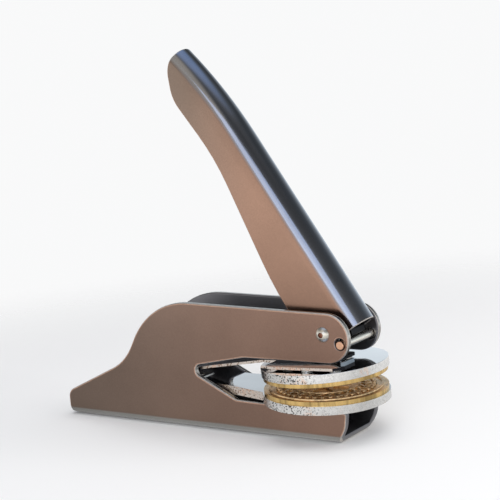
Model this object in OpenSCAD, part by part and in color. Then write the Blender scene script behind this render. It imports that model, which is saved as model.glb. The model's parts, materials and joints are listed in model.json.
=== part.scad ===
// Hand-held seal embosser: a folded steel channel body, a folded steel handle that turns on a
// cross shaft at the front, a cam between the handle's walls, and a slide-in die set whose
// upper jaw is pressed down on the lower one.
// Millimetres. X points forward to the dies, Y across, Z up. The origin is on the flat base,
// in the middle plane, straight below the centre of the dies.

/* [Body] */
// Outside width of the channel body
body_w = 22.4; // [20:0.1:30]
// Thickness of the body sheet
body_sheet = 2.3; // [1.5:0.1:3]
// Outside radius of the two lengthwise bends
body_bend_r = 3.5; // [3:0.1:5]
// Distance from the die centre back to the rear end
body_back = 112.5; // [105:0.5:125]
// Height of the low nose at the rear end
nose_h = 9.1; // [8:0.1:12]
// Radius of the nose corner
nose_r = 4; // [2:0.5:6]
// Slope of the ramp that climbs from the nose
ramp_angle = 23.5; // [20:0.5:26]
// Slope of the steep rise in front of the ramp
rise_angle = 59; // [55:0.5:64]
// Distance from the die centre back to the top of the hump
hump_back = 50; // [47:0.5:54]
// Height of the top of the hump
hump_h = 46.1; // [44:0.1:49]
// Radius of the hump
hump_r = 30.5; // [24:0.5:33]
// Radius of the valley between ramp and rise
valley_r = 23; // [15:0.5:26]
// Height of the cheeks at their front end
cheek_h = 44; // [43:0.1:45]
// Distance from the die centre forward to the round front end of the cheeks
cheek_front = 17; // [16.5:0.1:19]

/* [Jaw opening] */
// Height of the straight upper edge of the jaw opening
jaw_top = 27.4; // [27.3:0.05:27.8]
// Height of the lower edge of the jaw opening below the die centre
jaw_floor = 11.2; // [9:0.1:11.6]
// Distance from the die centre back to the sharp corner behind the opening
jaw_back = 53; // [51:0.5:56]
// Height of that corner
jaw_back_h = 22.4; // [21:0.1:24]
// Distance back to where the upper edge starts to fall
jaw_top_back = 26; // [24:0.5:29]
// Distance back to where the lower edge starts to climb
jaw_floor_back = 31; // [28:0.5:32]
// Radius of the rounded end of the opening
jaw_end_r = 2.3; // [1.5:0.1:3]
// Distance from the die centre forward to the lip under the dies
lip_front = 14.1; // [13:0.1:16]
// Distance forward to the front edge of the base
base_front = 10.2; // [8:0.1:12]

/* [Handle] */
// Outside width of the handle channel
handle_w = 12.2; // [11:0.1:13]
// Thickness of the handle sheet
handle_sheet = 1.5; // [1:0.1:2]
// Height of the handle's back above the pivot, with the handle lying flat
handle_back_h = 12.5; // [11.5:0.1:13]
// Length from the pivot to the tip
handle_len = 113; // [105:0.1:120]
// Length from the pivot to where the back starts to droop
droop_start = 72.5; // [65:0.5:80]
// Radius of the drooping back
droop_r = 185; // [160:5:260]
// Distance from the pivot forward to the cut front end
handle_nose = 3.45; // [2.5:0.05:3.6]
// Slope of the handle at rest, above the level
handle_up = 56.8; // [54:0.1:60]
// Angle that the handle turns from rest to fully pressed
handle_swing = 46; // [42:1:50]

/* [Pivot and stop] */
// Distance from the die centre forward to the pivot
pivot_x = 7.3; // [6.8:0.05:8.4]
// Height of the pivot
pivot_z = 37.2; // [36.8:0.05:37.8]
// Radius of the pivot shaft
pivot_r = 3; // [2.5:0.1:3.3]
// Radius of the shank of the pivot screws
screw_r = 1.45; // [1:0.05:1.6]
// Radius of the domed screw heads
screw_head_r = 2.6; // [2.2:0.1:3]
// Height of the domed screw heads
screw_head_h = 1.5; // [1:0.1:1.8]
// Width of the hexagon socket across its corners
socket_w = 2; // [1.5:0.1:2.4]
// Distance from the pivot forward to the stop pin
stop_dx = 6.4; // [6.3:0.05:6.8]
// Distance from the pivot down to the stop pin
stop_dz = 3.4; // [3.2:0.05:3.6]
// Radius of the stop pin
stop_r = 1.45; // [1.2:0.05:1.5]
// Radius of the wide near-side hole round the stop pin's end
stop_hole_r = 1.9; // [1.75:0.05:2]
// Radius of the handle's ears and of the cam hub
ear_r = 4.4; // [4:0.1:4.6]

/* [Dies] */
// Diameter of the two round chromed plates
plate_d = 44; // [42:0.5:46]
// Thickness of the lower plate and its arm
lower_plate_t = 2.95; // [2.5:0.05:3.2]
// Thickness of the upper plate
upper_plate_t = 3; // [2.5:0.05:3.2]
// Diameter of the two brass dies
die_d = 43; // [41:0.5:43.5]
// Thickness of each brass die
die_t = 1.45; // [1.2:0.05:1.6]
// Diameter of the engraved design
seal_d = 39.6; // [36:0.2:40]
// Height of the raised design
relief_h = 0.45; // [0.3:0.05:0.5]
// Number of beads in the outer ring
bead_count = 40; // [24:1:48]
// Radius of one bead
bead_r = 0.75; // [0.5:0.05:0.9]
// Number of points of the star
star_points = 8; // [5:1:12]
// Radius of the star
star_r = 9; // [7:0.5:10]
// Room left for the paper between the closed dies
paper_gap = 0.15; // [0.1:0.05:0.3]
// Fall of the die bed towards the front
bed_tilt = 1.4; // [0:0.1:2]
// Height of the die bed's top below the die centre
bed_h = 12.35; // [12:0.05:12.6]
// Angle between the jaws at rest
jaw_open = 3.4; // [3:0.1:3.6]

/* [Die set arms] */
// Distance from the die centre back to the jaw hinge
hinge_back = 68.4; // [66:0.1:70]
// Gap between the lower arm and each cheek
arm_gap = 0.5; // [0.4:0.1:1.5]
// Distance from the die centre back to the lower arm's rear end
arm_back = 74; // [73:0.5:76]
// Distance from the die centre back to where the arm starts to widen
neck_back = 36; // [35:0.5:42]
// Thickness of the pressure leaf
leaf_t = 0.9; // [0.8:0.05:1]
// How much narrower than the lower arm the leaf is at each side
leaf_inset = 0.4; // [0.1:0.1:2]
// Distance from the middle plane to the near edge of the leaf's broad head
head_near = 17; // [15:0.5:18]
// Distance from the middle plane to the far edge of the head
head_far = 7.5; // [7.5:0.5:11.5]
// Distance from the die centre back to the rear edge of the head
head_back = 14; // [12:0.5:18]
// Distance from the die centre forward to the front edge of the head
head_front = 16.8; // [15.5:0.1:18]
// Radius of the head's rear corners
head_corner_r = 3; // [1:0.5:5]
// Length of the slanted cut at the head's near front corner
head_cut = 3; // [0:0.5:4]
// Width of the finger tab at the near side of the head's front edge
tab_w = 9.4; // [7:0.1:10]
// Distance that the tab stands out in front of the rest of the head
tab_len = 8; // [3:0.5:8.5]
// Height of the lip turned up at the tab's front edge
lip_h = 1.6; // [0.5:0.1:1.8]
// Gap between the upper plate and the leaf's head
head_gap = 0.6; // [0.3:0.05:0.65]
// Radius of the jaw hinge pin
hinge_pin_r = 1.2; // [1:0.05:1.3]
// Outside radius of the leaf's rolled eye
eye_r = 2.1; // [2:0.05:2.2]
// Thickness of each ear that holds the hinge pin
ear_t = 3.2; // [2:0.1:3.5]

/* [Fits] */
// Radial clearance of a running fit
run = 0.05; // [0.02:0.01:0.1]
// Clearance between faces that pass each other
side_gap = 0.1; // [0.05:0.01:0.2]
// Clearance of a piece that is free of its neighbour
free_gap = 0.3; // [0.2:0.05:0.4]

/* [Hidden] */

$fn = 64;
arc_step = 4;           // degrees between the points of a rounded corner
over = 1;               // how far a cutting shape reaches past what it cuts

bronze = [0.47, 0.38, 0.33];
black_steel = [0.13, 0.13, 0.14];
steel = [0.74, 0.73, 0.71];
chrome = [0.86, 0.87, 0.89];
brass = [0.85, 0.66, 0.32];
copper = [0.78, 0.56, 0.42];

// Body
inner_half = body_w / 2 - body_sheet;
top_fall = atan2(hump_h - cheek_h, hump_back + cheek_front);
front_straight = 0.1;   // straight stretch between the two arcs of the cheeks' front end
cheek_r = (cheek_h - jaw_top - front_straight) / (1 + tan(45 - top_fall / 2));
body_top = max(hump_h, cheek_h) + over;
arm_half_w = inner_half - arm_gap;
leaf_half_w = arm_half_w - leaf_inset;
ear_half_w = [arm_half_w - side_gap - ear_t, arm_half_w - side_gap];
eye_half_w = ear_half_w[0] - side_gap;

// Stack of the closed die set, measured up from the top of the bed
plate_w0 = side_gap;
die_w0 = plate_w0 + lower_plate_t;
face_w = die_w0 + die_t;
upper_die_w0 = face_w + paper_gap;
upper_plate_w0 = upper_die_w0 + die_t;
head_w0 = upper_plate_w0 + upper_plate_t + head_gap;
head_w1 = head_w0 + leaf_t;
recess_h = relief_h + 0.05;
recess_d = seal_d + 1;

// Jaw hinge, in the frame of the bed
eye_lift = 0.5;
hinge_w = die_w0 + eye_lift + eye_r;
leaf_root_w0 = hinge_w - eye_r;

// Underside of the closed leaf: it climbs in an arch from the hinge to the level of its flat head
leaf_climb_back = hinge_back - 2.4;
leaf_level_back = 20;   // distance back to where the leaf is level with its head
leaf_steps = 24;
function leaf_bottom(x) =
    let (t = (x + leaf_climb_back) / (leaf_climb_back - leaf_level_back))
    leaf_root_w0 + (head_w0 - leaf_root_w0) * pow(max(0, min(1, t)), 0.8);
function climb_x(i) = -leaf_climb_back + (leaf_climb_back - leaf_level_back) * i / leaf_steps;
// Soft climb from 0 to 1
function eased(t) = (1 - cos(180 * max(0, min(1, t)))) / 2;

// Pressed cam: distance from the pivot to the top of the leaf's head, at rest and closed
pivot_bed = to_bed([pivot_x, pivot_z]);
closed_reach = pivot_bed[1] - head_w1;
rest_reach = turned(pivot_bed - [-hinge_back, hinge_w], -jaw_open)[1] + hinge_w - head_w1;
cam_rest_normal = jaw_open - bed_tilt - 90;
cam_turn = handle_swing + jaw_open;
cam_half_w = handle_w / 2 - handle_sheet - side_gap;
cam_slope = (closed_reach - rest_reach) / (cam_turn * PI / 180);

// A point of the XZ plane seen in the frame of the bed
function to_bed(p) = turned(p - [0, bed_h], bed_tilt);
// A point turned about the origin, anticlockwise as seen from the near side
function turned(p, a) = [p[0] * cos(a) - p[1] * sin(a), p[0] * sin(a) + p[1] * cos(a)];
function unit(v) = v / norm(v);
function angle_of(v) = atan2(v[1], v[0]);
// The smaller turn from one direction to another, from -180 to 180
function turn_between(a, b) = let (d = b - a) d - 360 * round(d / 360);
// Points of the arc of radius r that rounds corner b between its neighbours a and c
function corner_arc(a, b, c, r) =
    let (u = unit(a - b), v = unit(c - b), half = acos(u * v) / 2)
    let (centre = b + unit(u + v) * r / sin(half), reach = r / tan(half))
    let (from = angle_of(b + u * reach - centre), to = angle_of(b + v * reach - centre))
    let (sweep = turn_between(from, to), steps = max(2, ceil(abs(sweep) / arc_step)))
    [for (i = [0 : steps]) centre + r * [cos(from + sweep * i / steps), sin(from + sweep * i / steps)]];
function plane_point(p) = [p[0], p[1]];
// An outline from corners [x, y, radius]
function rounded(corners) =
    let (n = len(corners))
    [for (i = [0 : n - 1]) each
        corners[i][2] == 0 ? [plane_point(corners[i])] :
        corner_arc(plane_point(corners[(i + n - 1) % n]), plane_point(corners[i]),
            plane_point(corners[(i + 1) % n]), corners[i][2])];
// Where the line through p at angle a meets the line through q at angle b
function meet(p, a, q, b) =
    let (d = q - p)
    p + [cos(a), sin(a)] * (d[0] * sin(b) - d[1] * cos(b)) / sin(b - a);

// ---- shared shapes ----

// Children drawn in XZ, extruded across Y over the given width about the middle plane
module across(width) {
    rotate([90, 0, 0]) translate([0, 0, -width / 2]) linear_extrude(width) children();
}
// Children drawn in XZ, extruded along Y from y0 to y1
module between_y(y0, y1) {
    translate([0, y1, 0]) rotate([90, 0, 0]) linear_extrude(y1 - y0) children();
}
// Children drawn in YZ, extruded along X from x0 to x1
module along_x(x0, x1) {
    translate([x0, 0, 0]) rotate([90, 0, 90]) linear_extrude(x1 - x0) children();
}
// Both sides of the middle plane
module both_sides() {
    children();
    mirror([0, 1, 0]) children();
}
// A rod along Y at a point of the XZ plane
module rod(p, r, y0, y1) {
    translate([p[0], y1, p[1]]) rotate([90, 0, 0]) cylinder(r = r, h = y1 - y0);
}
// The frame of the die bed: X forward along the bed, Z up from its top face
module bed_frame() {
    translate([0, 0, bed_h]) rotate([0, bed_tilt, 0]) children();
}
// The frame of the upper jaw, which is drawn closed and stands open at rest
module upper_frame() {
    bed_frame() translate([-hinge_back, 0, hinge_w]) rotate([0, -jaw_open, 0])
        translate([hinge_back, 0, -hinge_w]) children();
}
// The frame of the handle, which is drawn lying flat with its tip to the rear
module handle_frame() {
    translate([pivot_x, 0, pivot_z]) rotate([0, handle_up, 0]) children();
}
// A flush countersunk screw or rivet, head down at z = 0, shank up
module flush_screw(head_r, shank_r, length) {
    head_h = head_r - shank_r;
    cylinder(r1 = head_r, r2 = shank_r, h = head_h);
    translate([0, 0, head_h / 2]) cylinder(r = shank_r, h = length - head_h / 2);
}
// The hole for such a screw
module flush_hole(head_r, shank_r, length, gap) {
    head_h = head_r - shank_r;
    translate([0, 0, -gap]) cylinder(r1 = head_r + 2 * gap, r2 = shank_r + gap, h = head_h + gap);
    translate([0, 0, -over]) cylinder(r = shank_r + gap, h = length + over);
}

// ---- body ----

ramp_start = [-body_back, nose_h];
hump_centre = [-hump_back, hump_h - hump_r];
rise_point = hump_centre + hump_r * [-sin(rise_angle), cos(rise_angle)];
hump_top = [-hump_back, hump_h];
function jaw_floor_at(x) = jaw_floor - x * tan(bed_tilt);
nose_foot_r = 1.5;      // radius of the nose's lower corner
jaw_top_bend_r = 12;    // radius of the bend in the jaw opening's upper edge
jaw_floor_bend_r = 3;   // radius of the bend in its lower edge
lip_corner_r = 1;       // radius of the lip's upper corner
lip_slant = 0.8;        // how far the lip's front edge leans back before its bend
lip_bend_h = 5.5;       // height of that bend
lip_bend_r = 8;

function body_outline() = rounded([
    [-body_back, 0, nose_foot_r],
    [-body_back, nose_h, nose_r],
    concat(meet(ramp_start, ramp_angle, rise_point, rise_angle), valley_r),
    concat(meet(rise_point, rise_angle, hump_top, -top_fall), hump_r),
    [cheek_front, cheek_h, cheek_r],
    [cheek_front, jaw_top, cheek_r],
    [-jaw_top_back, jaw_top, jaw_top_bend_r],
    [-jaw_back, jaw_back_h, jaw_end_r],
    [-jaw_floor_back, jaw_floor_at(-jaw_floor_back), jaw_floor_bend_r],
    [lip_front, jaw_floor_at(lip_front), lip_corner_r],
    [lip_front - lip_slant, lip_bend_h, lip_bend_r],
    [base_front, 0, 0]
]);

// Section of the channel, open at the top
function channel_section(half_w, floor_z, bend_r, top_z) = rounded([
    [-half_w, floor_z, bend_r],
    [half_w, floor_z, bend_r],
    [half_w, top_z, 0],
    [-half_w, top_z, 0]
]);
// The free space between the cheeks and above the base, drawn in by a gap
module inside_channel(gap) {
    along_x(-body_back - over, cheek_front + over)
        polygon(channel_section(inner_half - gap, body_sheet, body_bend_r - body_sheet, body_top));
}
post_x = [-12, -62];    // places of the two posts under the bed
post_r = 3;
post_screw_head_r = 2.7;
post_screw_len = 8;

module body_shell() {
    color(bronze) difference() {
        intersection() {
            across(body_w) polygon(body_outline());
            along_x(-body_back - over, cheek_front + over)
                polygon(channel_section(body_w / 2, 0, body_bend_r, body_top));
        }
        inside_channel(0);
        rod([pivot_x, pivot_z], screw_r + side_gap, -body_w, body_w);
        rod([pivot_x + stop_dx, pivot_z - stop_dz] + [0, stop_hole_r - stop_r - run], stop_hole_r, -body_w, 0);
        rod([pivot_x + stop_dx, pivot_z - stop_dz], stop_r + run, 0, body_w);
        for (x = post_x) translate([x, 0, 0])
            flush_hole(post_screw_head_r, screw_r, body_sheet + over, side_gap);
    }
}

// Folded steel bed that carries the die set: an upside-down channel with a stop tab at the rear
bed_t = 2;
bed_front = 4;
bed_back = arm_back + free_gap + bed_t;
bed_tab_h = 6;

module die_bed() {
    color(black_steel) intersection() {
        inside_channel(side_gap);
        bed_frame() difference() {
            union() {
                along_x(-bed_back, bed_front) translate([-inner_half, -bed_h])
                    square([2 * inner_half, bed_h]);
                translate([-bed_back, -arm_half_w, -bed_t]) cube([bed_t, 2 * arm_half_w, bed_t + bed_tab_h]);
            }
            along_x(-bed_back - over, bed_front + over) translate([-inner_half + bed_t, -bed_h - over])
                square([2 * (inner_half - bed_t), bed_h + over - bed_t]);
            for (x = post_x) translate([x, 0, -bed_t - over])
                cylinder(r = screw_r, h = over);
        }
    }
}

// Round posts that stand on the base and carry the bed's top
module bed_posts() {
    color(black_steel) difference() {
        intersection() {
            for (x = post_x) translate([x, 0, body_sheet]) cylinder(r = post_r, h = bed_h + over);
            bed_frame() translate([-body_back, -body_w / 2, -bed_h - 2 * over])
                cube([2 * body_back, body_w, bed_h + 2 * over - bed_t]);
        }
        for (x = post_x) translate([x, 0, 0]) cylinder(r = screw_r + run, h = post_screw_len + over);
    }
}

// Flush screws through the base into the posts
module bed_screws() {
    color(steel) for (x = post_x) translate([x, 0, 0]) difference() {
        flush_screw(post_screw_head_r, screw_r, post_screw_len);
        translate([0, 0, -over]) cylinder(d = socket_w, h = over + 0.8, $fn = 6);
    }
}

// ---- pivot and stop ----

screw_depth = 6;        // length of screw inside the shaft

module pivot_shaft() {
    color(steel) difference() {
        rod([pivot_x, pivot_z], pivot_r, -inner_half, inner_half);
        both_sides() rod([pivot_x, pivot_z], screw_r + run, inner_half - screw_depth - over, inner_half + over);
    }
}

// Domed screw with a hexagon socket, drawn on the far side with its head outwards
module pivot_screw() {
    outer = body_w / 2;
    dome_r = (screw_head_r * screw_head_r + screw_head_h * screw_head_h) / (2 * screw_head_h);
    color(steel) difference() {
        union() {
            rod([pivot_x, pivot_z], screw_r, inner_half - screw_depth, outer + screw_head_h / 2);
            intersection() {
                rod([pivot_x, pivot_z], screw_head_r, outer, outer + screw_head_h);
                translate([pivot_x, outer + screw_head_h - dome_r, pivot_z])
                    rotate([90, 0, 0]) sphere(r = dome_r);
            }
        }
        translate([pivot_x, outer + screw_head_h + over, pivot_z]) rotate([90, 0, 0])
            cylinder(d = socket_w, h = over + screw_head_h * 0.7, $fn = 6);
    }
}
module pivot_screw_near() { mirror([0, 1, 0]) pivot_screw(); }
module pivot_screw_far() { pivot_screw(); }

// Collar on the shaft that fills the room between a handle wall and a cheek
module spacer() {
    color(steel) difference() {
        rod([pivot_x, pivot_z], ear_r, handle_w / 2 + side_gap, inner_half - run);
        rod([pivot_x, pivot_z], pivot_r + run, 0, body_w);
    }
}
module spacer_near() { mirror([0, 1, 0]) spacer(); }
module spacer_far() { spacer(); }

// Cross pin that the raised handle's front end comes to rest on
module stop_pin() {
    proud = 0.2;
    color(copper)
        rod([pivot_x + stop_dx, pivot_z - stop_dz], stop_r, -body_w / 2 - proud, body_w / 2 + proud);
}

// ---- handle ----

handle_r = handle_w / 2;
belly_u = 24;           // corner of the lower edge at the belly, back from the pivot
belly_v = -10.1;
belly_r = 120;
waist_u = 72.7;         // corner at the grip's waist
waist_v = -2.4;
waist_r = 90;
heel_back = 13.3;       // corner at the heel of the tip, measured from the tip
heel_v = -4.4;
heel_r = 15;
chin_back = 2.9;        // slanted lower corner of the tip, measured from the tip
chin_v = 0.9;
chin_r = 9;
tip_v = 11.1;           // upper corner of the tip
tip_r = 2.5;
handle_nose_r = 3;      // radius of the lower front corner
rivet_at = [[7, -4.5], [1.5, -7]];
rivet_r = 1.4;

// Lower edge and ends of the walls, seen from the side: u back from the pivot, v up
function handle_outline() = rounded([
    [handle_nose, 2 * handle_back_h, 0],
    [handle_nose, belly_v, handle_nose_r],
    [-belly_u, belly_v, belly_r],
    [-waist_u, waist_v, waist_r],
    [-handle_len + heel_back, heel_v, heel_r],
    [-handle_len + chin_back, chin_v, chin_r],
    [-handle_len, tip_v, tip_r],
    [-droop_start, 2 * handle_back_h, 0]
]);

// Section of the channel with its half-round back, wall ends at v0
module handle_section(v0) {
    centre_v = handle_back_h - handle_r;
    difference() {
        union() {
            translate([0, centre_v]) circle(r = handle_r);
            translate([-handle_r, v0]) square([handle_w, centre_v - v0]);
        }
        translate([0, centre_v]) circle(r = handle_r - handle_sheet);
        translate([-handle_r + handle_sheet, v0 - over])
            square([handle_w - 2 * handle_sheet, centre_v - v0 + over]);
    }
}

module handle() {
    wall_end = belly_v - over;
    droop_angle = 16;
    color(bronze) handle_frame() difference() {
        intersection() {
            union() {
                along_x(-droop_start, handle_nose + over) handle_section(wall_end);
                translate([-droop_start, 0, handle_back_h - droop_r]) rotate([90, 0, 0]) rotate([0, 0, 90])
                    rotate_extrude(angle = droop_angle, $fn = 360) rotate([0, 0, -90])
                        translate([0, droop_r - handle_back_h]) handle_section(wall_end);
            }
            across(handle_w + 2 * over) polygon(handle_outline());
        }
        rod([0, 0], pivot_r + run, -handle_w, handle_w);
        for (p = rivet_at) rod([-p[0], p[1]], rivet_r + run, -handle_w, handle_w);
    }
}

// Cam: seen from the pivot, the tangent that lies on the leaf moves out evenly as the handle turns
function cam_point(turn) =
    let (a = cam_rest_normal - turn, share = turn / cam_turn)
    let (reach = rest_reach + (closed_reach - rest_reach) * share - side_gap)
    reach * [cos(a), sin(a)] - cam_slope * [-sin(a), cos(a)];
cam_steps = 16;
lobe_root = [-14, -2];  // where the lobe's back meets the lug, with the handle lying flat
lug_back = 10;          // reach of the lug between the handle's walls, behind the pivot
lug_up = 3.5;
lug_down = 9.2;
lug_front = 0.5;
toe_over = 1;           // how far the toe reaches past the middle of the stop pin
toe_h = 2.6;
lug_lower = 0.1;        // how much lower than the hub's faces the lug, the toe and the lobe are
toe_lower = 0.2;
lobe_lower = 0.3;
// Underside of the cam's toe, which comes down on the stop pin when the handle is raised
toe_z = stop_r - stop_dz + side_gap;

// One layer of the cam, drawn in XZ about the pivot, its faces a little lower than the hub's
module cam_layer(lower) {
    translate([pivot_x, 0, pivot_z]) across(2 * (cam_half_w - lower)) children();
}
module press_cam() {
    color(black_steel) difference() {
        union() {
            cam_layer(0) circle(r = ear_r);
            cam_layer(lobe_lower) polygon(concat(
                [[0, 0]],
                [for (i = [0 : cam_steps]) cam_point(cam_turn * i / cam_steps)],
                [turned(lobe_root, -handle_up)]
            ));
            cam_layer(toe_lower) polygon(rounded([
                [0, toe_z, 0], [stop_dx + toe_over, toe_z, 0.8],
                [stop_dx + toe_over / 2, toe_z + toe_h, 1], [1, ear_r - 0.5, 0]
            ]));
            cam_layer(lug_lower) rotate(-handle_up) polygon(rounded([
                [lug_front, 0, 0], [-2, lug_up, 1], [-lug_back, -1, 2],
                [-lug_back, -lug_down, 2], [lug_front, -lug_down, 1]
            ]));
        }
        rod([pivot_x, pivot_z], pivot_r + run, -body_w, body_w);
        handle_frame() for (p = rivet_at) rod([-p[0], p[1]], rivet_r + run, -body_w, body_w);
    }
}

// Rivets that hold the cam between the handle's walls
module cam_rivets() {
    head_t = 0.8;
    head_over = 0.8;
    color(steel) handle_frame() for (p = rivet_at) {
        rod([-p[0], p[1]], rivet_r, -handle_r - head_t, handle_r + head_t);
        both_sides() rod([-p[0], p[1]], rivet_r + head_over, handle_r, handle_r + head_t);
    }
}

// ---- lower half of the die set ----

die_screw_x = -5;       // place of the die screws along the plates
die_screw_y = 14;       // distance of each die screw from the middle plane
die_screw_r = 1.2;
die_screw_head_r = 2.2;
die_screw_bite = 0.9;   // how far a screw reaches into the brass

// Children at the two screw places of a die
module at_die_screws() {
    for (y = [-die_screw_y, die_screw_y]) translate([die_screw_x, y, 0]) children();
}
ear_reach = 4;          // how far each ear reaches in front of the hinge and behind it
ear_top_r = 2.5;

module arm_plan() {
    plate_r = plate_d / 2;
    circle(r = plate_r, $fn = 128);
    polygon([
        [-arm_back, -arm_half_w], [-neck_back, -arm_half_w], [-plate_r * 0.85, -plate_r * 0.53],
        [-plate_r * 0.85, plate_r * 0.53], [-neck_back, arm_half_w], [-arm_back, arm_half_w]
    ]);
}

module lower_plate() {
    color(chrome) bed_frame() difference() {
        translate([0, 0, plate_w0]) linear_extrude(lower_plate_t) arm_plan();
        translate([0, 0, plate_w0]) at_die_screws()
            flush_hole(die_screw_head_r, die_screw_r, lower_plate_t + over, run);
        translate([0, 0, plate_w0]) ear_rivet_places()
            cylinder(r = ear_rivet_r + run, h = 4 * over + lower_plate_t, center = true);
        translate([lift_rivet_x, 0, plate_w0]) cylinder(r = ear_rivet_r + run, h = 8, center = true);
    }
}

// The raised design: two rims, a ring of beads and a star
module seal_design(height) {
    rim_w = 0.7;
    linear_extrude(height) {
        ring(seal_d / 2, rim_w);
        ring(star_r + 2.6, rim_w);
        bead_ring_r = (seal_d / 2 + star_r + 2.6 - rim_w) / 2 + 1.2;
        for (i = [0 : bead_count - 1]) rotate(i * 360 / bead_count)
            translate([bead_ring_r, 0]) circle(r = bead_r, $fn = 24);
        polygon([for (i = [0 : 2 * star_points - 1])
            (i % 2 == 0 ? star_r : star_r * 0.45) * [cos(i * 180 / star_points), sin(i * 180 / star_points)]]);
    }
}
module ring(r, w) {
    difference() {
        circle(r = r, $fn = 96);
        circle(r = r - w, $fn = 96);
    }
}

module lower_die() {
    color(brass) bed_frame() difference() {
        union() {
            translate([0, 0, die_w0]) cylinder(d = die_d, h = die_t, $fn = 128);
            translate([0, 0, face_w - run]) seal_design(relief_h + run);
        }
        translate([0, 0, die_w0]) at_die_screws()
            cylinder(r = die_screw_r + run, h = 2 * (die_screw_bite + run), center = true);
    }
}

module lower_die_screws() {
    color(steel) bed_frame() translate([0, 0, plate_w0]) at_die_screws()
        flush_screw(die_screw_head_r, die_screw_r, lower_plate_t + die_screw_bite);
}

ear_rivet_r = 1;
ear_rivet_bite = 3;     // how far an ear rivet reaches into its ear
ear_rivet_dx = 2.6;     // distance of the ear rivets in front of the hinge
module ear_rivet_places() {
    for (y = [-1, 1]) translate([-hinge_back + ear_rivet_dx, y * (ear_half_w[0] + ear_half_w[1]) / 2, 0])
        children();
}

// Two ears on the lower arm that hold the hinge pin
module hinge_ears() {
    color(black_steel) bed_frame() difference() {
        both_sides() between_y(ear_half_w[0], ear_half_w[1])
            polygon(rounded([
                [-hinge_back - ear_reach, die_w0, 0], [-hinge_back + ear_reach, die_w0, 0],
                [-hinge_back + ear_reach, hinge_w + eye_r, ear_top_r],
                [-hinge_back - ear_reach, hinge_w + eye_r, ear_top_r]
            ]));
        rod([-hinge_back, hinge_w], hinge_pin_r + 0.02, -body_w, body_w);
        translate([0, 0, die_w0]) ear_rivet_places()
            cylinder(r = ear_rivet_r + run, h = 2 * (ear_rivet_bite + run), center = true);
    }
}
module ear_rivets() {
    color(steel) bed_frame() translate([0, 0, plate_w0]) ear_rivet_places()
        cylinder(r = ear_rivet_r, h = lower_plate_t + ear_rivet_bite);
}
module hinge_pin() {
    color(steel) bed_frame() rod([-hinge_back, hinge_w], hinge_pin_r, -ear_half_w[1], ear_half_w[1]);
}

// Short bowed strip that lifts the upper jaw, drawn as it lies when the jaws are closed
lift_half_w = 3.5;
lift_t = 0.3;
lift_front = 51;        // distance back to the riveted end
lift_free = hinge_back - eye_r - 2.8;   // distance back to the free end under the leaf
lift_flat = 6;          // length of the flat riveted end
lift_rivet_x = -lift_front - lift_flat / 2;
lift_rise = leaf_bottom(-lift_free) - die_w0 - lift_t - run;
lift_steps = 8;
function lift_x(i) = -lift_front - lift_flat - (lift_free - lift_front - lift_flat) * i / lift_steps;
function lift_w(i) = die_w0 + lift_rise * eased(i / lift_steps);

module lift_spring() {
    color(steel) bed_frame() difference() {
        across(2 * lift_half_w) polygon(concat(
            [[-lift_front, die_w0]],
            [for (i = [0 : lift_steps]) [lift_x(i), lift_w(i)]],
            [for (i = [lift_steps : -1 : 0]) [lift_x(i), lift_w(i) + lift_t]],
            [[-lift_front, die_w0 + lift_t]]
        ));
        translate([lift_rivet_x, 0, die_w0]) cylinder(r = ear_rivet_r + run, h = 2, center = true);
    }
}
module lift_spring_rivet() {
    color(steel) bed_frame() translate([lift_rivet_x, 0, plate_w0])
        cylinder(r = ear_rivet_r, h = lower_plate_t + lift_t + 0.1);
}

// ---- upper half of the die set ----

module upper_plate() {
    color(chrome) upper_frame() difference() {
        translate([0, 0, upper_plate_w0]) cylinder(d = plate_d, h = upper_plate_t, $fn = 128);
        translate([0, 0, upper_plate_w0 + upper_plate_t]) at_die_screws() rotate([180, 0, 0])
            flush_hole(die_screw_head_r, die_screw_r, upper_plate_t + over, run);
        translate([0, 0, upper_plate_w0 + upper_plate_t]) at_leaf_rivets()
            cylinder(r = leaf_rivet_r + run, h = 2 * (leaf_rivet_bite + run), center = true);
    }
}

module upper_die() {
    color(brass) upper_frame() difference() {
        translate([0, 0, upper_die_w0]) cylinder(d = die_d, h = die_t, $fn = 128);
        translate([0, 0, upper_die_w0 - over]) cylinder(d = recess_d, h = over + recess_h, $fn = 128);
        translate([0, 0, upper_plate_w0]) at_die_screws()
            cylinder(r = die_screw_r + run, h = 2 * (upper_bite + run), center = true);
    }
}
upper_bite = 0.7;       // how far a screw reaches into the recessed upper die

module upper_die_screws() {
    color(steel) upper_frame() translate([0, 0, upper_plate_w0 + upper_plate_t]) at_die_screws()
        rotate([180, 0, 0]) flush_screw(die_screw_head_r, die_screw_r, upper_plate_t + upper_bite);
}

leaf_rivet_r = 1.2;
leaf_rivet_bite = 2;    // how far a rivet reaches into the upper plate
leaf_rivet_places = [[-9, -6.6], [-9, 5.6], [5.6, 5.6], [1.5, -13.4], [11.2, -11.4]];
module at_leaf_rivets() {
    for (p = leaf_rivet_places) translate([p[0], p[1], 0]) children();
}

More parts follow.
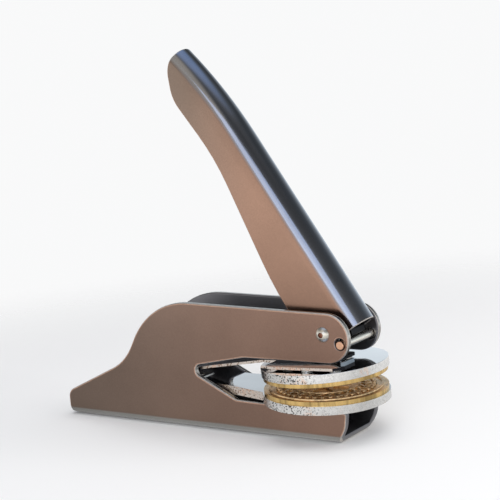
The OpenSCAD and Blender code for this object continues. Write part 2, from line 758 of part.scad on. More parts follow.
// Side view of the closed leaf, with the lip at its front end
function leaf_outline() = concat(
    [[-hinge_back, leaf_root_w0]],
    [for (i = [0 : leaf_steps]) [climb_x(i), leaf_bottom(climb_x(i))]],
    [[head_front, head_w0], [head_front, head_w1 + lip_h], [head_front - leaf_t, head_w1 + lip_h],
        [head_front - leaf_t, head_w1]],
    [for (i = [leaf_steps : -1 : 0]) [climb_x(i), leaf_bottom(climb_x(i)) + leaf_t]],
    [[-hinge_back, leaf_root_w0 + leaf_t]]
);
module leaf_plan() {
    widen_x = -hinge_back + 8;
    polygon(rounded([
        [-hinge_back - eye_r, -eye_half_w, 0], [widen_x, -eye_half_w, 1],
        [widen_x + 3, -leaf_half_w, 2], [-head_back, -leaf_half_w, 1],
        [-head_back, -head_near, head_corner_r], [head_front - head_cut, -head_near, 0],
        [head_front, head_cut - head_near, 0], [head_front, tab_w - head_near, 0],
        [head_front - tab_len, tab_w - head_near, 2], [head_front - tab_len, head_far, 2],
        [-head_back, head_far, 2],
        [-head_back, leaf_half_w, 1], [widen_x + 3, leaf_half_w, 2],
        [widen_x, eye_half_w, 1], [-hinge_back - eye_r, eye_half_w, 0]
    ]));
}

module pressure_leaf() {
    color(chrome) upper_frame() difference() {
        union() {
            intersection() {
                across(2 * head_near) polygon(leaf_outline());
                translate([0, 0, -over]) linear_extrude(bed_h + body_w) leaf_plan();
            }
            rod([-hinge_back, hinge_w], eye_r, -eye_half_w, eye_half_w);
        }
        rod([-hinge_back, hinge_w], hinge_pin_r + run, -body_w, body_w);
        translate([0, 0, head_w0]) at_leaf_rivets()
            cylinder(r = leaf_rivet_r + run, h = 4 * leaf_t, center = true);
    }
}

// Flush rivets with a spacing shoulder between the upper plate and the leaf's head
module leaf_rivets() {
    shoulder_r = 2;
    color(steel) upper_frame() translate([0, 0, head_w0 - head_gap]) at_leaf_rivets() {
        translate([0, 0, -leaf_rivet_bite]) cylinder(r = leaf_rivet_r, h = leaf_rivet_bite + head_gap + leaf_t);
        cylinder(r = shoulder_r, h = head_gap);
    }
}

body_shell();
die_bed();
bed_posts();
bed_screws();
pivot_shaft();
pivot_screw_near();
pivot_screw_far();
spacer_near();
spacer_far();
stop_pin();
handle();
press_cam();
cam_rivets();
lower_plate();
lower_die();
lower_die_screws();
hinge_ears();
ear_rivets();
hinge_pin();
lift_spring();
lift_spring_rivet();
upper_plate();
upper_die();
upper_die_screws();
pressure_leaf();
leaf_rivets();
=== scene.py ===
import json
import math

import bpy
from mathutils import Matrix, Vector


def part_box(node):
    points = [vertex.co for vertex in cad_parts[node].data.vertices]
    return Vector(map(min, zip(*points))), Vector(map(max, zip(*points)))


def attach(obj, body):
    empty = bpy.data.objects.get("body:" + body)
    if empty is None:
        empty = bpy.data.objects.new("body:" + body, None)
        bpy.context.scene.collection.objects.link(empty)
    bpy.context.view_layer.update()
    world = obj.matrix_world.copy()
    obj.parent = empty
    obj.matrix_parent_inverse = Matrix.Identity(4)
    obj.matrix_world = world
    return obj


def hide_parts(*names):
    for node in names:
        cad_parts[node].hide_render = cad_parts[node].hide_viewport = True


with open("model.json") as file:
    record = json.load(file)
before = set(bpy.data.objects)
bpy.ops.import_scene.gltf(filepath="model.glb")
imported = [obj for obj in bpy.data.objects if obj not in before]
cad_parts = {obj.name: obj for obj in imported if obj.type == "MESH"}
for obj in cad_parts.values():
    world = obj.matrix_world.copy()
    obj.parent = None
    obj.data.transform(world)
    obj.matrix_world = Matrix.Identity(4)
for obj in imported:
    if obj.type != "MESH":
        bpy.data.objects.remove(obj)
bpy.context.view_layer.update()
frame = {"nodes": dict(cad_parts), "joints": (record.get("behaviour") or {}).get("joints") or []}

# ---- Camera ----
# The photograph is taken from the near side, a little in front and above, through a short
# telephoto lens. The camera is rolled a few degrees, so the base line slopes in the frame.
MM = 0.001      # one millimetre in metres, the unit of the script
CAMERA_PLACE = Vector((215.9, -335.1, 118.7)) * MM
CAMERA_TURN = math.radians(35.95)       # from the near side towards the front
CAMERA_HEIGHT = math.radians(7.59)      # above the level
CAMERA_ROLL = math.radians(-5.08)
LENS_MM = 85.57

back = Vector((math.sin(CAMERA_TURN) * math.cos(CAMERA_HEIGHT),
               -math.cos(CAMERA_TURN) * math.cos(CAMERA_HEIGHT), math.sin(CAMERA_HEIGHT)))
level = Vector((math.cos(CAMERA_TURN), math.sin(CAMERA_TURN), 0))
upright = back.cross(level)
right = level * math.cos(CAMERA_ROLL) + upright * math.sin(CAMERA_ROLL)
up = upright * math.cos(CAMERA_ROLL) - level * math.sin(CAMERA_ROLL)
bpy.ops.object.camera_add()
camera = bpy.context.object
camera.data.lens = LENS_MM
camera.data.clip_start = 0.01
camera.data.clip_end = 20
camera.matrix_world = Matrix.Translation(CAMERA_PLACE) @ Matrix((right, up, back)).transposed().to_4x4()
bpy.context.scene.camera = camera
bpy.context.scene.view_settings.view_transform = "Standard"


# ---- Table top and daylight ----
# The embosser stands on a seamless white table that fades into the white background. The room
# lights it softly. Polished metal shows the room's pale lower walls and dark upper ones, a warm
# curtain and a blue skylight.
class Wire:
    """One output socket that can be reckoned with like a number."""

    def __init__(self, paint, socket):
        self.paint = paint
        self.socket = socket

    def _math(self, operation, *values):
        return self.paint.node("ShaderNodeMath", {"operation": operation}, dict(enumerate(values)))

    def __add__(self, other):
        return self._math("ADD", self, other)

    def __sub__(self, other):
        return self._math("SUBTRACT", self, other)

    def __rsub__(self, other):
        return self._math("SUBTRACT", other, self)

    def __mul__(self, other):
        return self._math("MULTIPLY", self, other)

    def __truediv__(self, other):
        return self._math("DIVIDE", self, other)

    def __abs__(self):
        return self._math("ABSOLUTE", self)

    __radd__ = __add__
    __rmul__ = __mul__

    def axis(self, name):
        """The X, Y or Z of a place or a direction."""
        return self.paint.node("ShaderNodeSeparateXYZ", None, {0: self}, out=name)

    def over(self, low, high):
        """0 where the value is under low, 1 where it is over high, and soft between."""
        settings = {"interpolation_type": "SMOOTHSTEP"}
        return self.paint.node("ShaderNodeMapRange", settings,
                               {"Value": self, "From Min": low, "From Max": high})

    def band(self, low, high, soft):
        """1 between low and high, 0 outside, with soft sides."""
        return self.over(low - soft, low) * (1 - self.over(high, high + soft))


class Paint:
    """A node tree that is built by calls of one method."""

    def __init__(self, tree):
        self.tree = tree

    def node(self, kind, settings=None, values=None, out=0):
        """Adds a node, sets its settings, fills or links its sockets and returns one output."""
        made = self.tree.nodes.new(kind)
        for name, value in (settings or {}).items():
            if name == "stops":
                ramp = made.color_ramp.elements
                while len(ramp) < len(value):
                    ramp.new(0.5)
                for stop, (place, grey) in zip(ramp, value):
                    stop.position = place
                    stop.color = (grey, grey, grey, 1)
            else:
                setattr(made, name, value)
        for name, value in (values or {}).items():
            if isinstance(value, Wire):
                self.tree.links.new(value.socket, made.inputs[name])
            else:
                made.inputs[name].default_value = value
        return Wire(self, made.outputs[out])

    def place(self):
        """The shaded point, in the piece's own coordinates."""
        return self.node("ShaderNodeTexCoord", out="Object")

    def finish(self, kind, shader):
        """Leads the finished shader to the tree's output."""
        output = self.tree.nodes.new("ShaderNodeOutput" + kind)
        self.tree.links.new(shader.socket, output.inputs["Surface"])


def new_material(name):
    """A fresh empty material and its Paint."""
    material = bpy.data.materials.new(name)
    material.use_nodes = True
    material.node_tree.nodes.clear()
    return material, Paint(material.node_tree)


def blended(paint, share, low, high):
    """One colour passing into another as the share goes from 0 to 1."""
    low = low if isinstance(low, Wire) else (*low, 1)
    high = high if isinstance(high, Wire) else (*high, 1)
    return paint.node("ShaderNodeMix", {"data_type": "RGBA"}, {0: share, 6: low, 7: high}, out=2)


def tinted(paint, colour, factor):
    """A colour, or a wire of one, multiplied by a wire."""
    colour = colour if isinstance(colour, Wire) else (*colour, 1)
    return paint.node("ShaderNodeMix", {"data_type": "RGBA", "blend_type": "MULTIPLY"},
                      {0: 1.0, 6: colour, 7: factor}, out=2)


def mixed(paint, share, low, high):
    """One shader passing into another as the share goes from 0 to 1."""
    return paint.node("ShaderNodeMixShader", None, {0: share, 1: low, 2: high})


ROOM_WHITE = (0.945, 0.948, 0.952)      # background that the camera sees
ROOM_GLOW = (0.93, 0.95, 1.0)           # colour of the light from all round
ROOM_LIGHT = 0.35                       # and its strength
BLUE_WALL = (0.86, 0.94, 1.0)           # tint of the walls beyond the far side
BEYOND = (-0.2, 0.5)                    # Y of a direction over which that tint comes in
CURTAIN = (0.56, 0.50, 0.42)            # hangs on the near side, to the left
CURTAIN_SHARE = 0.95                    # how much of the wall it hides
CURTAIN_END = (0.08, 0.36)              # X of a direction over which it ends
CURTAIN_SIDE = (-0.66, -0.40)           # and Y
CURTAIN_HEIGHT = (0.38, 0.84)
CURTAIN_SOFT = 0.12
SKYLIGHT = (0.36, 0.46, 0.68)
SKYLIGHT_HEIGHT = (0.80, 0.96)          # heights over which the skylight comes in
# Light of the walls that polished metal shows, from -1 straight below to 1 straight above
ROOM_TONES = [(-0.30, 1.20), (-0.15, 1.65), (-0.07, 1.50), (0.01, 0.85), (0.08, 0.88),
              (0.15, 0.92), (0.22, 0.80), (0.31, 0.50), (0.47, 0.28), (0.60, 0.12),
              (0.72, 0.08), (0.85, 0.17), (1.0, 0.34)]

world = bpy.data.worlds.new("White room")
bpy.context.scene.world = world
world.use_nodes = True
world.node_tree.nodes.clear()
room = Paint(world.node_tree)
ray = room.node("ShaderNodeTexCoord", out="Generated")
height = ray.axis("Z")
walls = room.node("ShaderNodeValToRGB", {"stops": [((rise + 1) / 2, tone) for rise, tone in ROOM_TONES]},
                  {0: height * 0.5 + 0.5})
curtain = (1 - ray.axis("X").over(*CURTAIN_END)) * (1 - ray.axis("Y").over(*CURTAIN_SIDE))
curtain = curtain * height.band(*CURTAIN_HEIGHT, CURTAIN_SOFT)
walls = blended(room, curtain * CURTAIN_SHARE, walls, CURTAIN)
walls = blended(room, height.over(*SKYLIGHT_HEIGHT), walls, SKYLIGHT)
walls = tinted(room, walls, blended(room, ray.axis("Y").over(*BEYOND), (1, 1, 1), BLUE_WALL))
lit = room.node("ShaderNodeBackground", None, {"Color": (*ROOM_GLOW, 1), "Strength": ROOM_LIGHT})
seen = room.node("ShaderNodeBackground", None, {"Color": (*ROOM_WHITE, 1), "Strength": 1.0})
mirrored = room.node("ShaderNodeBackground", None, {"Color": walls, "Strength": 1.0})
sky = mixed(room, room.node("ShaderNodeLightPath", out="Is Camera Ray"), lit, seen)
sky = mixed(room, room.node("ShaderNodeLightPath", out="Is Glossy Ray"), sky, mirrored)
room.finish("World", sky)

# The table is matt. To polished metal it shows instead as a glowing sheet of painted light, with painted
# shade close to the body and towards the rear.
TABLE_R = 1.0
TABLE_MIDDLE = Vector((-30, 0, -0.3)) * MM
TABLE_WHITE = (0.95, 0.945, 0.94)
TABLE_FADE = (0.16, 0.44)       # distances from the dies over which the seen table fades
SHEEN_FADE = (0.26, 0.62)       # and the mirrored one
SHEEN_REACH = 0.42              # distance to the side over which the mirrored table brightens
# Light of the mirrored table, by the share of that distance
TABLE_SHEEN = [(0.0, 0.44), (0.08, 0.54), (0.30, 0.64), (0.47, 0.78), (0.66, 1.32), (1.0, 1.65)]
SHEEN_ENDS = (-0.26, 0.02)      # stretch along the body over which it brightens to the front
SHEEN_REAR = 0.57               # by these factors
SHEEN_FRONT = 1.12

bpy.ops.mesh.primitive_circle_add(vertices=96, radius=TABLE_R, fill_type="NGON", location=TABLE_MIDDLE)
bpy.ops.object.transform_apply(location=True)
table_top = bpy.context.object
table_top.name = "table_top"
table_paint, paint = new_material("table white")
place = paint.place()
distance = paint.node("ShaderNodeVectorMath", {"operation": "LENGTH"}, {0: place}, out="Value")
matt = paint.node("ShaderNodeBsdfDiffuse", None, {"Color": (*TABLE_WHITE, 1)})
gone = paint.node("ShaderNodeBsdfTransparent")
tone = paint.node("ShaderNodeValToRGB", {"stops": TABLE_SHEEN}, {0: abs(place.axis("Y")) / SHEEN_REACH})
light = SHEEN_REAR + place.axis("X").over(*SHEEN_ENDS) * (SHEEN_FRONT - SHEEN_REAR)
# Painted light: for glossy rays the table glows, with painted shade near the body and to the rear.
sheen = paint.node("ShaderNodeEmission", None, {"Color": tinted(paint, tone, light), "Strength": 1.0})
seen_top = mixed(paint, distance.over(*TABLE_FADE), matt, gone)
mirrored_top = mixed(paint, distance.over(*SHEEN_FADE), sheen, gone)
glossy = paint.node("ShaderNodeLightPath", out="Is Glossy Ray")
paint.finish("Material", mixed(paint, glossy, seen_top, mirrored_top))
table_top.data.materials.append(table_paint)


def soft_box(name, place, aim, size, watts, colour=(1, 1, 1), mirrored=False):
    """A rectangular soft box at a place, turned to what it lights."""
    bpy.ops.object.light_add(type="AREA", location=place)
    lamp = bpy.context.object
    lamp.name = name
    lamp.data.shape = "RECTANGLE"
    lamp.data.size, lamp.data.size_y = size
    lamp.data.energy = watts
    lamp.data.color = colour
    lamp.visible_glossy = mirrored
    lamp.rotation_euler = (Vector(aim) - Vector(place)).to_track_quat("-Z", "Y").to_euler()


# Polished metal shows only the last two.
soft_box("top_box", (0.10, 0, 1.0), aim=(-0.03, 0, 0), size=(1.0, 1.0), watts=4.7)
soft_box("right_box", (0.75, 0.15, 0.45), aim=(-0.03, 0, 0.03), size=(0.6, 0.5), watts=3.1,
         colour=(1, 0.99, 0.97))
soft_box("fill_box", (0.42, -0.80, 0.75), aim=(0, 0, 0), size=(0.7, 0.5), watts=2.7)
soft_box("front_box", (0.25, -1.08, 0.50), aim=(0, 0, 0.06), size=(0.74, 0.52), watts=0.85,
         colour=(0.78, 0.93, 1.28), mirrored=True)
soft_box("camera_box", (0.56, -0.85, 0.25), aim=(0, 0, 0.03), size=(0.60, 0.22), watts=0.22,
         colour=(1, 0.98, 0.95), mirrored=True)

# ---- Body ----
# One strip of steel, pressed to shape and folded up into a channel with a flat base and two
# cheeks. Its satin bronze plating is worn to a pale line along the rounded edges, and that line is
# also painted highlight, with a coppery line of painted highlight next to the flat faces. The inside
# of the channel is painted a dark grey metal as painted shade.
REAR_BRONZE = (0.290, 0.213, 0.172)
BRONZE = (0.342, 0.210, 0.158)
BRONZE_REACH = (-120 * MM, 20 * MM)     # stretch over which the first passes into the second
NICKEL = (0.42, 0.41, 0.39)
# Pale worn edge, painted paler as painted highlight, and the coppery line of painted highlight
PALE_EDGE = (0.52, 0.48, 0.44)
HIGHLIGHT_LINE = (0.56, 0.34, 0.24)
# Darker grey metal inside the channels, as painted shade
PAINTED_SHADE_GREY = (0.26, 0.255, 0.27)
BODY_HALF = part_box("body_shell")[1].y
BODY_SHEET = 2.3 * MM
BODY_EDGE = 0.6 * MM
BODY_WEAR = 0.25 * MM
MOUTH_TOP = 14 * MM         # height of the body's open front under the dies
PIN_HOLE_R = 2.6 * MM       # reach of the wide hole for the stop pin, with its rounded edge
PIN_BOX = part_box("stop_pin")


def softened(node, body, edge, finishes, segments=3, sharp=28, clamp=True):
    """A copy of a solid of the frame with rounded edges, shown in its place.

    Edges sharper than the angle are rounded, and finish 1, if there is one, is for them.
    """
    piece = bpy.data.objects.new(node + "_finished", frame["nodes"][node].data.copy())
    bpy.context.collection.objects.link(piece)
    piece.data.materials.clear()
    for finish in finishes:
        piece.data.materials.append(finish)
    bpy.ops.object.select_all(action="DESELECT")
    piece.select_set(True)
    bpy.context.view_layer.objects.active = piece
    bpy.ops.object.mode_set(mode="EDIT")
    bpy.ops.mesh.select_all(action="SELECT")
    bpy.ops.mesh.remove_doubles(threshold=2e-6)
    bpy.ops.mesh.dissolve_limited(angle_limit=math.radians(0.5))
    bpy.ops.object.mode_set(mode="OBJECT")
    rounding = piece.modifiers.new("rounding", "BEVEL")
    rounding.width = edge
    rounding.segments = segments
    rounding.limit_method = "ANGLE"
    rounding.angle_limit = math.radians(sharp)
    rounding.use_clamp_overlap = clamp
    rounding.material = 1 if len(finishes) > 1 else -1
    bpy.ops.object.modifier_apply(modifier=rounding.name)
    bpy.ops.object.shade_smooth_by_angle(angle=math.radians(35))
    flats = piece.modifiers.new("flats", "WEIGHTED_NORMAL")
    flats.keep_sharp = True
    bpy.ops.object.modifier_apply(modifier=flats.name)
    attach(piece, body)
    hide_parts(node)
    return piece


def refinish(piece, finish, chosen):
    """Gives another of its finishes to the faces whose centre and normal pass a test."""
    index = list(piece.data.materials).index(finish)
    for face in piece.data.polygons:
        if chosen(face.center, face.normal):
            face.material_index = index


def noise(paint, place, scale, detail=3.0):
    """A value that wanders about 0.5 from place to place."""
    return paint.node("ShaderNodeTexNoise", None, {"Vector": place, "Scale": scale, "Detail": detail})


def bumped(paint, height, strength, depth):
    """The slope of a surface that the height raises by up to the depth."""
    return paint.node("ShaderNodeBump", None, {"Strength": strength, "Distance": depth, "Height": height})


def metal_face(paint, colour, roughness, metallic=1.0, slope=None):
    """Ends a material as metal of this colour and roughness."""
    values = {"Base Color": colour, "Metallic": metallic, "Roughness": roughness}
    if slope is not None:
        values["Normal"] = slope
    paint.finish("Material", paint.node("ShaderNodeBsdfPrincipled", None, values))


def plated(name, tones, reach, bare, half_width, wear, roughness):
    """Satin bronze on the two flat outer faces, which lie at half_width, and bare metal elsewhere.

    The bronze passes from the first tone to the second over the reach along the piece, and is
    worn through where the rounding has fallen off by the wear.
    """
    material, paint = new_material(name)
    place = paint.place()
    grain = noise(paint, place, 2200.0, 2.0)
    cloud = noise(paint, place, 38.0)
    aside = abs(place.axis("Y")) + (cloud - 0.5) * wear * 0.4
    flat = aside.over(half_width - wear, half_width - wear * 0.1)
    bronze = blended(paint, place.axis("X").over(*reach), *tones)
    shade = 0.80 + grain * 0.24 + cloud.over(0.3, 0.7) * 0.12
    metal_face(paint, tinted(paint, blended(paint, flat, bare, bronze), shade),
               roughness + flat * 0.13 + (cloud - 0.5) * 0.08, slope=bumped(paint, grain, 0.04, 0.03 * MM))
    return material


def worn_and_highlit_edge(name, half_width):
    """A pale rounded edge, worn and painted paler as painted highlight, with a coppery line of painted
    highlight where it meets the flat outer face.
    """
    material, paint = new_material(name)
    place = paint.place()
    grain = noise(paint, place, 1400.0)
    line = abs(place.axis("Y")).over(half_width - 0.13 * MM, half_width - 0.06 * MM)
    metal_face(paint, tinted(paint, blended(paint, line, PALE_EDGE, HIGHLIGHT_LINE), 0.7 + grain * 0.6),
               0.42 + (grain - 0.5) * 0.2, metallic=0.4)
    return material


def metal(name, colour, roughness, grain=0.25, grain_size=1800.0, metallic=1.0):
    """A plain metal whose colour and gloss vary with a fine grain and slow clouds."""
    material, paint = new_material(name)
    place = paint.place()
    speck = noise(paint, place, grain_size)
    cloud = noise(paint, place, 60.0)
    metal_face(paint, tinted(paint, colour, 1 + (speck - 0.5) * grain + (cloud - 0.5) * 0.3),
               roughness + (cloud - 0.5) * 0.12 + (speck - 0.5) * 0.06, metallic,
               bumped(paint, speck, 0.05, 0.03 * MM))
    return material


inside = metal("painted shade inside", PAINTED_SHADE_GREY, 0.42)
body_bronze = plated("bronze and nickel on the body", (REAR_BRONZE, BRONZE), BRONZE_REACH, NICKEL,
                     BODY_HALF, BODY_WEAR, 0.2)
body_edge = worn_and_highlit_edge("pale edge of the body", BODY_HALF)
body = softened("body_shell", "body", BODY_EDGE, [body_bronze, body_edge, inside], clamp=False)
pin_middle = (PIN_BOX[0] + PIN_BOX[1]) / 2


def inside_body(centre, normal):
    """Whether a face of the body looks into its channel."""
    deep = abs(centre.y) < BODY_HALF - BODY_SHEET + BODY_EDGE / 3
    inward = normal.y * centre.y < -0.2 * abs(centre.y)
    floor = normal.z > 0.5 and centre.z < 2 * BODY_SHEET
    return deep and (inward or floor)


def front_end(centre, normal):
    """Whether a face is on the cut front end of the channel, under the dies."""
    return centre.x > 0 and centre.z < MOUTH_TOP and normal.x > 0.8


def round_the_pin(centre):
    """Whether a point of the body lies at the edge of a hole for the stop pin."""
    return math.hypot(centre.x - pin_middle.x, centre.z - pin_middle.z) < PIN_HOLE_R


# Painted shade: the faces inside the channel, its cut front end and the walls of the pin holes take the dark
# inside metal.
refinish(body, inside, inside_body)
refinish(body, inside, front_end)
refinish(body, body_bronze, lambda centre, normal: round_the_pin(centre) and abs(normal.y) > 0.85)
refinish(body, inside, lambda centre, normal: round_the_pin(centre) and abs(normal.y) < 0.85)

# ---- Handle ----
# A second pressed strip, folded into a narrow channel with a half-round back, which nests
# between the cheeks when it is pressed down. It carries the same plating, and its back is rubbed
# bright by the hand.
# The bronze darkens towards the tip as painted shade.
SHADED_TIP_BRONZE = (0.240, 0.180, 0.143)
HAND_BRONZE = (0.352, 0.212, 0.153)
HAND_REACH = (-55 * MM, -15 * MM)       # stretch over which the first passes into the second
HAND_STEEL = (0.41, 0.43, 0.48)
HANDLE_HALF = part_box("handle")[1].y
HANDLE_SHEET = 1.5 * MM
HANDLE_EDGE = 0.3 * MM
HANDLE_WEAR = 0.42 * MM
HANDLE_SLOPE = math.radians(56.8)
BACK_AXIS = 6.4 * MM        # height of the half-round back's axis above the pivot

hand_bronze = plated("bronze and steel on the handle", (SHADED_TIP_BRONZE, HAND_BRONZE), HAND_REACH,
                     HAND_STEEL, HANDLE_HALF, HANDLE_WEAR, 0.13)
hand_edge = worn_and_highlit_edge("pale edge of the handle", HANDLE_HALF)
grip = softened("handle", "handle", HANDLE_EDGE, [hand_bronze, hand_edge, inside], clamp=False)
pivot = Vector(frame["joints"][0]["pos_m"])
outward = Vector((math.sin(HANDLE_SLOPE), 0, math.cos(HANDLE_SLOPE)))


def inside_handle(centre, normal):
    """Whether a face of the handle looks at the middle of its channel from close by."""
    depth = (centre - pivot).dot(outward)
    middle = Vector((centre.x, 0, centre.z)) - outward * max(0, depth - BACK_AXIS)
    inward = middle - centre
    return inward.length < HANDLE_HALF - 0.8 * HANDLE_SHEET and normal.dot(inward) > 0.5 * inward.length


# Painted shade: the faces inside the handle's channel take the dark inside metal.
refinish(grip, inside, inside_handle)

# ---- Die bed ----
# The folded bed under the dies and the two posts that carry it are blackened. Two plain screws
# hold the posts from below.
black = metal("black oxide", (0.012, 0.012, 0.014), 0.38, grain=0.6)
rubbed = metal("rubbed black edge", (0.05, 0.05, 0.052), 0.3, grain=0.6)
steel = metal("plain steel", (0.62, 0.60, 0.56), 0.24)
for node, edge, finishes, slot in (("die_bed", 0.3, [black, rubbed], "black_steel"),
                                   ("bed_posts", 0.2, [black, rubbed], "black_steel"),
                                   ("bed_screws", 0.12, [steel], "bright_steel")):
    softened(node, "body", edge * MM, finishes)

# ---- Pivot ----
# A bright shaft across the body, held by a domed screw at each side. The screws are warm grey
# steel, and their hexagon socket is painted dark coppery as painted shade. Two plain collars keep
# the handle in the middle.
SOCKET_R = 1.05 * MM
SOCKET_FLOOR = 0.8 * MM     # faces lower than this above the cheek are the socket's floor
SCREW_EDGE = 0.12 * MM

dome = metal("warm grey screw steel", (0.80, 0.76, 0.67), 0.30, grain=0.3, grain_size=900.0, metallic=0.9)
socket = metal("painted shade in the socket", (0.40, 0.20, 0.13), 0.4)


def in_socket(centre, normal):
    """Whether a face of a pivot screw is a wall or the floor of its socket."""
    reach = math.hypot(centre.x - pivot.x, centre.z - pivot.z)
    low = abs(centre.y) < BODY_HALF + SOCKET_FLOOR
    return abs(centre.y) > BODY_HALF and reach < SOCKET_R and (abs(normal.y) < 0.5 or low)


for node in ("pivot_screw_near", "pivot_screw_far"):
    screw = softened(node, "body", SCREW_EDGE, [dome])
    screw.data.materials.append(socket)
    # Painted shade: the socket's walls and floor take the darker coppery metal.
    refinish(screw, socket, in_socket)
for node in ("pivot_shaft", "spacer_near", "spacer_far"):
    softened(node, "body", 0.15 * MM, [steel])

# ---- Stop pin ----
# A plain pin across the front of the cheeks. Its two ends are tinted copper as painted reflection
# of warm light, and its shaft is rubbed bright between the cheeks.
PIN_BRIGHT = (0.82, 0.78, 0.70)
PIN_WARM_REFLECTION = (0.86, 0.50, 0.33)
WARM_REFLECTION_START = (BODY_HALF - BODY_SHEET, BODY_HALF - BODY_SHEET * 0.7)

pin_finish, paint = new_material("steel pin with painted warm reflection")
place = paint.place()
grain = noise(paint, place, 1500.0)
# Painted reflection: the pin's ends are tinted copper for the warm light they show.
shade = blended(paint, abs(place.axis("Y")).over(*WARM_REFLECTION_START), PIN_BRIGHT, PIN_WARM_REFLECTION)
metal_face(paint, tinted(paint, shade, 0.8 + grain * 0.4), 0.28 + (grain - 0.5) * 0.2)
softened("stop_pin", "body", 0.3 * MM, [pin_finish])

# ---- Cam ----
# The lobe that presses the upper jaw is blackened steel. It sits between the handle's walls,
# and two rivets with flat heads hold it there.
softened("press_cam", "handle", 0.3 * MM, [black, rubbed])
softened("cam_rivets", "handle", 0.2 * MM, [steel])

# ---- Chromed plates ----
# Two round plates carry the dies, and the lower one has an arm. Their faces are polished. Their
# edges were left rough from the lathe, so the chrome on them is pitted, with black specks, and
# carries pinkish patches of painted reflection of the bronze body. The chamfer next to each die
# is painted dark as painted shade.
PLATE_EDGE = 0.28 * MM
ARM_FRONT = -20 * MM        # where the lower plate's round edge passes into its arm
BED_TILT = math.radians(1.4)
bed_up = Vector((math.sin(BED_TILT), 0, math.cos(BED_TILT)))


def darker(colour, share):
    """A colour at a share of its light."""
    return [tone * share for tone in colour]


def pitted(name, bright, painted_bronze_reflection, pit):
    """Chrome over a rough turned edge, with pinkish patches of painted reflection, and with pits towards its
    rear.
    """
    material, paint = new_material(name)
    place = paint.place()
    pits = noise(paint, place, 1700.0)
    mottle = noise(paint, place, 900.0, 4.0)
    patch = noise(paint, place, 75.0, 2.0)
    rough = patch.over(0.34, 0.50) * (1 - place.axis("X").over(0, 15 * MM) * 0.9)
    shade = blended(paint, mottle.over(0.38, 0.60), darker(bright, 0.92), bright)
    shade = blended(paint, patch.over(0.54, 0.62) * mottle.over(0.42, 0.54), shade, painted_bronze_reflection)
    shade = blended(paint, pits.over(0.565, 0.59) * rough, shade, pit)
    metal_face(paint, shade, 0.16 + mottle * 0.16, slope=bumped(paint, pits * rough, 0.35, 0.1 * MM))
    return material


def turned_edge(centre, normal):
    """Whether a face of a plate or arm is part of its upright edge."""
    return abs(normal.dot(bed_up)) < 0.4


mirror = metal("polished chrome", (0.86, 0.87, 0.89), 0.05, grain=0.05)
# Painted reflection: the pinkish patches, and the pinkish beige of the arms' edges, stand for the bronze body
# seen in the rough chrome.
rough_edge = pitted("pitted chrome edge", (1.0, 0.99, 0.97), (1.0, 0.80, 0.68), (0.03, 0.027, 0.024))
arm_edge = pitted("pitted edge of the arms", (0.90, 0.80, 0.72), (0.95, 0.68, 0.54), (0.30, 0.20, 0.15))
rim = metal("painted shade next to the dies", (0.08, 0.08, 0.10), 0.25, grain=0.6)
for node, rider, inner in (("lower_plate", "die_base", 1), ("upper_plate", "upper_jaw", -1)):
    die_side = bed_up * inner
    plate = softened(node, rider, PLATE_EDGE, [mirror, mirror, rough_edge, rim, arm_edge], sharp=40)
    refinish(plate, rough_edge, turned_edge)
    refinish(plate, arm_edge, lambda centre, normal: turned_edge(centre, normal) and centre.x < ARM_FRONT)
    # Painted shade: the chamfer of each plate next to its die is dark metal.
    refinish(plate, rim, lambda centre, normal: 0.3 < normal.dot(die_side) < 0.9)

# ---- Brass dies ----
# The lower die carries the raised design and the upper one the hollow for it. Their turned
# edges are bright, with fine streaks across that are painted reflection, and the engraved faces are
# darker. The raised design's rounded edges and the wreath's leaves are paler brass, as painted
# highlight.
DIE_EDGE = 0.12 * MM
TURNED_SHARE = 0.985        # faces further out than this share of a die's radius are its edge
# Painted reflection: the streaks on the turned edge stand for the room seen in the brass.
REFLECTION_STREAK_RISE = 0.04          # how little the streaks on the edge change on their way up


def brass(name, colour, roughness, rise=1.0):
    """Brass with a mottled grain, which a low rise draws out into upright streaks of painted reflection."""
    material, paint = new_material(name)
    place = paint.node("ShaderNodeVectorMath", {"operation": "MULTIPLY"}, {0: paint.place(), 1: (1, 1, rise)})
    fine = noise(paint, place, 900.0)
    broad = noise(paint, place, 170.0, 2.0)
    shade = blended(paint, (broad * 0.6 + fine * 0.4).over(0.38, 0.60), darker(colour, 0.5), colour)
    metal_face(paint, shade, roughness + (broad - 0.5) * 0.2, slope=bumped(paint, fine, 0.25, 0.05 * MM))
    return material


edge_brass = brass("bright turned brass", (1.0, 0.68, 0.27), 0.2, REFLECTION_STREAK_RISE)
face_brass = brass("engraved brass", (0.95, 0.66, 0.36), 0.28)
# Painted highlight: the raised design's rounded edges and the wreath's leaves are paler brass.
highlight_brass = brass("raised brass with painted highlight", (1.0, 0.82, 0.54), 0.3)
for node, rider in (("lower_die", "die_base"), ("upper_die", "upper_jaw")):
    die = softened(node, rider, DIE_EDGE, [face_brass, highlight_brass, edge_brass], segments=2, sharp=40)
    turned_r = TURNED_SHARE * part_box(node)[1].y
    refinish(die, edge_brass, lambda centre, normal: math.hypot(centre.x, centre.y) > turned_r)

# ---- Wreath ----
# A ring of small raised leaves round the star, part of the lower die's design. Each leaf is a
# flattened ball that leans along the ring and sinks halfway into the face.
LEAVES = 26                 # leaves in each of the two rows
WREATH_R = 13.7 * MM
ROW_STEP = 0.95 * MM        # distance of each row from the wreath's middle
LEAF_SIZE = Vector((1.75, 0.62, 0.36)) * MM
LEAF_LEAN = math.radians(34)
BED_HEIGHT = 12.35 * MM     # height of the bed under the middle of the dies
SLIDE_GAP = 0.1 * MM        # room between bed and lower plate
LOWER_PLATE_T = 2.95 * MM
DIE_T = 1.45 * MM

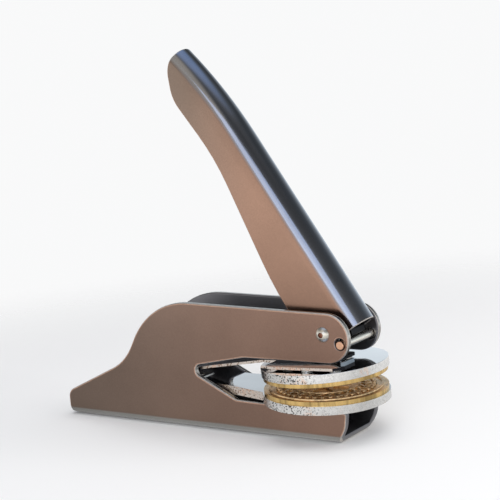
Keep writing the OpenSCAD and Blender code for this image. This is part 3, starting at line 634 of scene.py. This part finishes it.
bpy.ops.mesh.primitive_uv_sphere_add(segments=14, ring_count=8, radius=1.0)
ball = bpy.context.object
bpy.ops.object.mode_set(mode="EDIT")
bpy.ops.transform.resize(value=LEAF_SIZE, center_override=(0, 0, 0))
bpy.ops.object.mode_set(mode="OBJECT")
leaves = []
for row in (-1, 1):
    ring_r = WREATH_R + row * ROW_STEP
    for count in range(LEAVES):
        turn = math.tau * count / LEAVES
        leaf = bpy.data.objects.new("leaf", ball.data.copy())
        bpy.context.collection.objects.link(leaf)
        leaf.rotation_euler = (0, 0, turn + math.pi / 2 - row * LEAF_LEAN)
        leaf.location = (ring_r * math.cos(turn), ring_r * math.sin(turn), 0)
        leaves.append(leaf)
bpy.data.objects.remove(ball)
bpy.ops.object.select_all(action="DESELECT")
for leaf in leaves:
    leaf.select_set(True)
wreath = leaves[0]
bpy.context.view_layer.objects.active = wreath
bpy.ops.object.join()
wreath.name = "die_wreath"
bpy.ops.object.transform_apply(location=True, rotation=True, scale=True)
wreath.rotation_euler = (0, BED_TILT, 0)
wreath.location = Vector((0, 0, BED_HEIGHT)) + bed_up * (SLIDE_GAP + LOWER_PLATE_T + DIE_T)
bpy.ops.object.transform_apply(location=True, rotation=True, scale=True)
bpy.ops.object.shade_smooth()
# Painted highlight: the leaves take the paler raised brass.
wreath.data.materials.append(highlight_brass)
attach(wreath, "die_base")

# ---- Pressure leaf ----
# The upper jaw's spring leaf is chromed too. Its cut edges are rough like the arm's edge, with the
# same pinkish painted reflection. The lip is blued along its top and painted dark below as painted
# shade, and the head's front edge is painted black as painted shade.
LEAF_EDGE = 0.12 * MM
LIP_BLUE = 1.4 * MM         # height of the blued part of the lip
LIP_SOFT = 0.2 * MM         # height over which it passes into the dark part
LIP_REACH = 1.6 * MM        # faces within this of the leaf's front are the lip's
leaf_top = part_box("pressure_leaf")[1]

lip_steel, paint = new_material("blued lip with painted shade below")
place = paint.place()
grain = noise(paint, place, 900.0)
blued = place.axis("Z").over(leaf_top.z - LIP_BLUE, leaf_top.z - LIP_BLUE + LIP_SOFT)
# Painted shade: the lip is near black below its blued top.
shade = blended(paint, blued, (0.02, 0.02, 0.024), (0.26, 0.31, 0.36))
metal_face(paint, tinted(paint, shade, 0.65 + grain * 0.7), 0.35 + (grain - 0.5) * 0.2)
leaf = softened("pressure_leaf", "upper_jaw", LEAF_EDGE, [mirror, mirror, arm_edge, lip_steel, black],
                segments=2, sharp=40)
refinish(leaf, arm_edge, lambda centre, normal: abs(normal.y) > 0.6)
# Painted shade: the head's front edge takes the black metal.
refinish(leaf, black, lambda centre, normal: centre.x > 0 and normal.x > 0.3)
refinish(leaf, lip_steel, lambda centre, normal: centre.x > leaf_top.x - LIP_REACH)

# ---- Jaw hinge ----
# Blackened ears, riveted to the lower plate's arm, hold the bright pin that the upper jaw turns
# on. A thin bowed strip, with a rivet of its own, lifts the jaw.
softened("hinge_ears", "die_base", 0.3 * MM, [black, rubbed])
for node, edge in (("hinge_pin", 0.15), ("ear_rivets", 0.1), ("lift_spring", 0.05),
                   ("lift_spring_rivet", 0.05)):
    softened(node, "die_base", edge * MM, [steel])

# ---- Die screws and leaf rivets ----
# Flush countersunk screws hold the brass dies on their plates, and rivets with a spacing
# shoulder hold the leaf on the upper plate. All of them are plain steel.
for node, rider in (("lower_die_screws", "die_base"), ("upper_die_screws", "upper_jaw"),
                    ("leaf_rivets", "upper_jaw")):
    softened(node, rider, 0.08 * MM, [steel])
